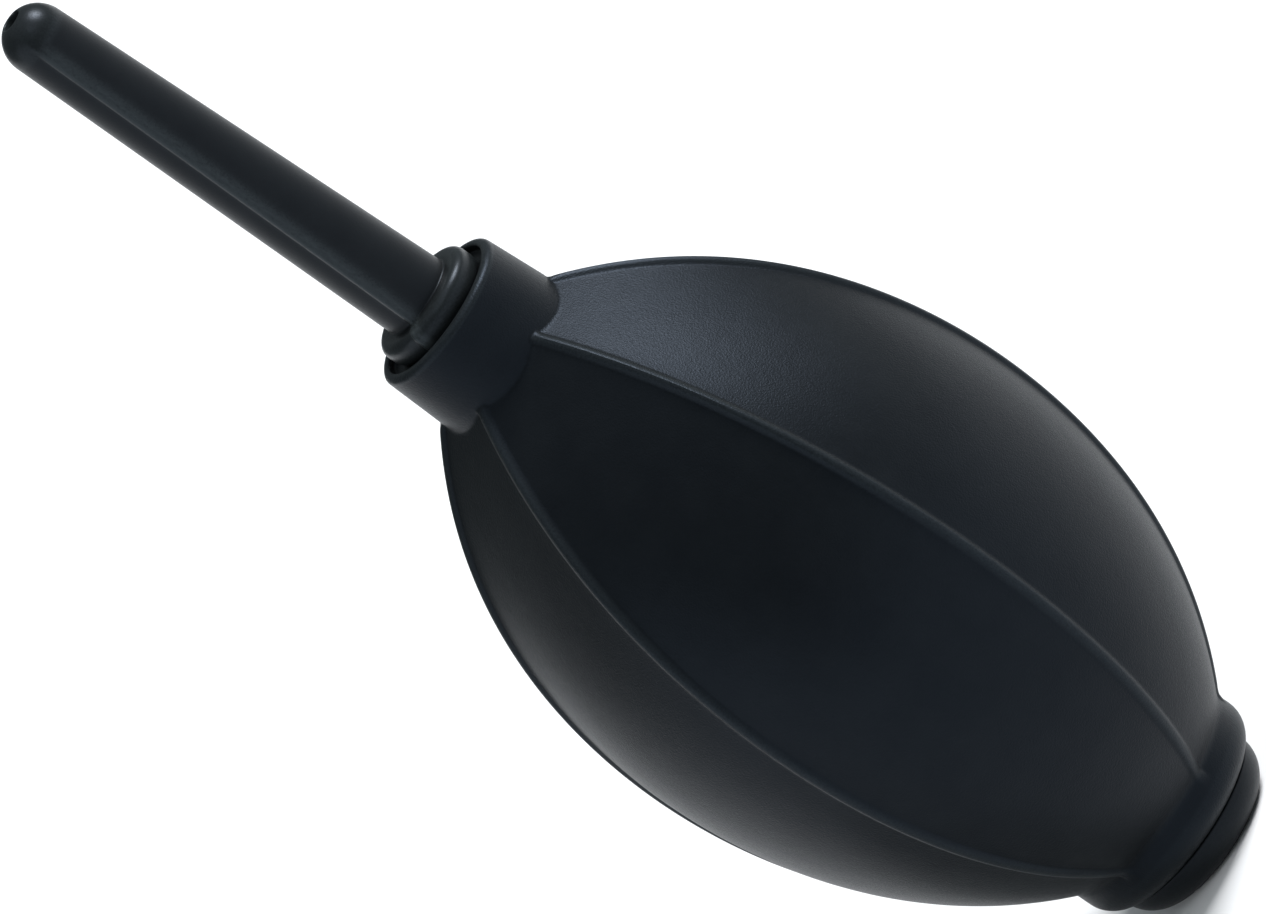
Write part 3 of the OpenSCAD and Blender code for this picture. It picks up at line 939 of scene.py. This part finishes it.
@dataclass
class InletValve:
    """The one-way valve in the tail: housing, cage, silicone disc, foam filter and vent cap."""

    foot_r: float = 6.65 * MM
    foot_edge_r: float = 3.8 * MM
    flange_len: float = 4.0 * MM
    plug_r: float = 7.95 * MM
    snap_z: float = 11.55 * MM
    snap_h: float = 0.6 * MM
    recess_r: float = 5.45 * MM
    web_z: float = 3.4 * MM
    web_top_z: float = 4.8 * MM
    pocket_r: float = 6.25 * MM
    seat_r: float = 3.42 * MM  # middle of the raised lip that the disc closes on
    seat_h: float = 0.4 * MM
    seat_w: float = 0.6 * MM
    pin_r: float = 0.9 * MM
    pin_top_z: float = 8.4 * MM
    port_r: float = 0.71 * MM
    port_circle_r: float = 2.01 * MM
    vent_r: float = 0.7 * MM
    vent_circle_r: float = 3.27 * MM
    hole_count: int = 6
    edge_r: float = 0.15 * MM
    columns: int = 144

    def _circle(self, radius: float) -> list[tuple[float, float]]:
        """Centres of the holes on a circle of this radius."""
        turns = [2 * math.pi * i / self.hole_count for i in range(self.hole_count)]
        return [(radius * math.cos(turn), radius * math.sin(turn)) for turn in turns]

    def _turned(self, name: str, profile: list[tuple[float, float, float]]) -> bpy.types.Object:
        """Turns a half-profile round the axis.

        Args:
            name: Name of the new object.
            profile: Radius, height and wear of each ring, from axis to axis.

        Returns:
            The new object.
        """
        angles = np.arange(self.columns) * 2 * math.pi / self.columns
        return loft(name, [ring(angles, r, z) for r, z, _ in profile],
                    [np.full(self.columns, wear_and_highlight) for _, _, wear_and_highlight in profile], closed=False)

    def _housing(self) -> bpy.types.Object:
        """The plug: rounded foot, flange, snap lip, vent recess, ported web and disc's seat.

        Returns:
            The housing.
        """
        low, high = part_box("inlet_valve_housing")
        edge, top = self.edge_r, high.z
        lip = self.seat_w / 2
        profile = [(0.0, self.web_z, 0), (self.recess_r, self.web_z, 0)]
        profile += [(r, z, 0.3) for r, z in
                    arc((self.recess_r + edge, low.z + edge), edge, 180, 270, 4)]
        profile += [(r, z, 0.5) for r, z in
                    arc((self.foot_r, low.z + self.foot_edge_r), self.foot_edge_r, -90, 0, 18)]
        profile += [(r, z, 0.3) for r, z in
                    arc((high.x - edge, self.flange_len - edge), edge, 0, 90, 4)]
        profile += [(self.plug_r, self.flange_len, 0), (self.plug_r, self.snap_z, 0),
                    (self.plug_r + self.snap_h - edge, self.snap_z, 0),
                    (self.plug_r + self.snap_h, self.snap_z + edge, 0),
                    (self.plug_r, top - edge, 0), (self.plug_r - edge, top, 0),
                    (self.pocket_r + edge, top, 0), (self.pocket_r, top - edge, 0),
                    (self.pocket_r, self.web_top_z, 0), (self.seat_r + lip, self.web_top_z, 0)]
        profile += [(r, z, 0) for r, z in
                    arc((self.seat_r, self.web_top_z + self.seat_h - lip), lip, 0, 180, 8)]
        profile += [(self.seat_r - lip, self.web_top_z, 0), (self.pin_r, self.web_top_z, 0)]
        profile += [(r, z, 0) for r, z in
                    arc((self.pin_r - edge, self.pin_top_z - edge), edge, 0, 90, 4)]
        piece = self._turned("inlet_housing_moulding", profile + [(0.0, self.pin_top_z, 0)])
        drill(piece, self._circle(self.port_circle_r), self.port_r, (self.web_z - MM, self.web_top_z + MM))
        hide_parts("inlet_valve_housing")
        return piece

    def _vent_cap(self) -> bpy.types.Object:
        """The disc pressed into the foot, with one hole in the middle and six round it.

        Returns:
            The vent cap.
        """
        low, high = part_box("inlet_vent_cap")
        edge = self.edge_r
        profile = [(0.0, low.z, 0.2), (high.x / 2, low.z, 0.2)]
        profile += [(r, z, 0.5) for r, z in arc((high.x - edge, low.z + edge), edge, -90, 0, 4)]
        profile += [(r, z, 0) for r, z in arc((high.x - edge, high.z - edge), edge, 0, 90, 4)]
        piece = self._turned("vent_cap_moulding", profile + [(0.0, high.z, 0)])
        drill(piece, [(0.0, 0.0), *self._circle(self.vent_circle_r)], self.vent_r,
              (low.z - MM, high.z + MM))
        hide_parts("inlet_vent_cap")
        return piece

    def build(self) -> list[bpy.types.Object]:
        """Makes the housing and its cap, and gives the other pieces their finishes.

        Returns:
            The pieces.
        """
        made = [self._housing(), self._vent_cap()]
        for piece in made:
            piece.data.materials.clear()
            piece.data.materials.append(MOULDED_POLYPROPYLENE.make())
            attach(piece, Body.TAIL_VALVE.value)
        return made + [dress_node("inlet_valve_cage", NATURAL_POLYPROPYLENE.make()),
                       dress_node("inlet_valve_disc", MOULDED_SILICONE.make()),
                       dress_node("inlet_filter", FILTER_FOAM.make())]


def dress_node(node: str, material: bpy.types.Material) -> bpy.types.Object:
    """Gives one of the frame's own nodes a finish.

    Args:
        node: The node's name.
        material: Its new material.

    Returns:
        The node's object.
    """
    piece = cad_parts[node]
    piece.data.materials.clear()
    piece.data.materials.append(material)
    return piece


@dataclass(frozen=True)
class Softbox:
    """A soft light, too far away to fall off across the floor.

    Attributes:
        name: Name of the light.
        towards: How far it stands towards the camera, as a share of its distance.
        right: How far to the camera's right.
        up: How far up.
        spread: How wide it looks from the bulb, in degrees.
        strength: Light that reaches a surface facing it.
    """

    name: str
    towards: float
    right: float
    up: float
    spread: float
    strength: float


@dataclass
class Studio:
    """A pale floor, soft light from one side and a long lens."""

    floor_side: float = 16.0
    lens: float = 1000.0  # millimetres, on a 36 mm sensor
    frame_width: float = 130.6 * MM  # width of the view at the bulb
    azimuth: float = math.radians(8.5)
    elevation: float = math.radians(16.5)
    roll: float = math.radians(55.73)
    aim_height: float = 0.4803  # of the whole height
    aim_side: float = -1.06 * MM
    room_colour: str = "#d6e5ea"
    room_strength: float = 0.25
    wall_colour: str = "#f4f4f5"
    softboxes: tuple[Softbox, ...] = (
        Softbox("key_softbox", towards=-0.08, right=0.76, up=0.66, spread=24, strength=4.8),
        Softbox("side_fill", towards=0.40, right=-0.88, up=0.14, spread=56, strength=1.0),
        Softbox("top_fill", towards=0.60, right=0.28, up=0.75, spread=34, strength=0.4),
        Softbox("overhead", towards=0.10, right=-0.10, up=1.00, spread=70, strength=0.4))

    def floor(self) -> bpy.types.Object:
        """A plain board of matt white paint, big enough to fill every view.

        Returns:
            The floor.
        """
        half = self.floor_side / 2
        mesh = bpy.data.meshes.new("floor")
        mesh.from_pydata([(-half, -half, 0), (half, -half, 0), (half, half, 0), (-half, half, 0)],
                         [], [(0, 1, 2, 3)])
        floor = show("floor", mesh)
        floor.data.materials.append(WHITE_EMULSION.make())
        return floor

    def _axes(self) -> tuple[Vector, Vector, Vector]:
        """The level camera's right, up and backward directions."""
        right = Vector((math.cos(self.azimuth), math.sin(self.azimuth), 0))
        towards = Vector((math.sin(self.azimuth), -math.cos(self.azimuth), 0))
        back = towards * math.cos(self.elevation) + Vector((0, 0, math.sin(self.elevation)))
        return right, back.cross(right), back

    def camera(self) -> bpy.types.Object:
        """A long lens that looks slightly down, rolled so that the nozzle points to the upper left.

        Returns:
            The camera.
        """
        right, up, back = self._axes()
        data = bpy.data.cameras.new("camera")
        data.lens = self.lens
        distance = self.frame_width * data.lens / data.sensor_width
        image_right = right * math.cos(self.roll) - up * math.sin(self.roll)
        image_up = right * math.sin(self.roll) + up * math.cos(self.roll)
        aim = Vector((0, 0, CAD_BOX[1].z * self.aim_height)) + right * self.aim_side
        camera = bpy.data.objects.new("camera", data)
        camera.matrix_world = Matrix.Translation(aim + back * distance) @ Matrix(
            (image_right, image_up, back)).transposed().to_4x4()
        data.clip_start, data.clip_end = distance / 100, distance * 10
        bpy.context.scene.collection.objects.link(camera)
        bpy.context.scene.camera = camera
        return camera

    def light(self, softbox: Softbox) -> bpy.types.Object:
        """Hangs a softbox.

        Args:
            softbox: Which one.

        Returns:
            The light.
        """
        towards = Vector((math.sin(self.azimuth), -math.cos(self.azimuth), 0))
        right = self._axes()[0]
        place = towards * softbox.towards + right * softbox.right + Vector((0, 0, softbox.up))
        data = bpy.data.lights.new(softbox.name, "SUN")
        data.energy, data.angle = softbox.strength, math.radians(softbox.spread)
        light = bpy.data.objects.new(softbox.name, data)
        light.rotation_euler = place.to_track_quat("Z", "Y").to_euler()
        bpy.context.scene.collection.objects.link(light)
        return light

    def surroundings(self) -> None:
        """A dim room, so that black stays black, which still looks pale behind the floor."""
        world = bpy.data.worlds.new("studio")
        world.use_nodes = True
        tree = world.node_tree
        tree.nodes.clear()
        seen = add_node(tree, "ShaderNodeLightPath").outputs["Is Camera Ray"]
        room = add_node(tree, "ShaderNodeBackground", inputs={
            "Color": linear(self.room_colour), "Strength": self.room_strength})
        wall = add_node(tree, "ShaderNodeBackground", inputs={
            "Color": linear(self.wall_colour), "Strength": 1.0})
        mixed = add_node(tree, "ShaderNodeMixShader", inputs={
            0: seen, 1: room.outputs["Background"], 2: wall.outputs["Background"]})
        add_node(tree, "ShaderNodeOutputWorld", inputs={"Surface": mixed.outputs["Shader"]})
        bpy.context.scene.world = world

    def build(self) -> None:
        """Sets up the floor, the lights, the surroundings and the camera."""
        self.floor()
        self.camera()
        for softbox in self.softboxes:
            self.light(softbox)
        self.surroundings()
        bpy.context.scene.view_settings.view_transform = "Standard"


def main() -> None:
    """Builds and dresses every sub-assembly, and then the studio."""
    logging.basicConfig(level=logging.INFO, format="%(message)s")
    pieces = [BulbMoulding().build(), NozzleMoulding().build()]
    pieces += OutletValve().dress() + InletValve().build()
    for piece in pieces:
        log.info("%s: %d faces", piece.name, len(piece.data.polygons))
    Studio().build()


if __name__ == "__main__":
    main()
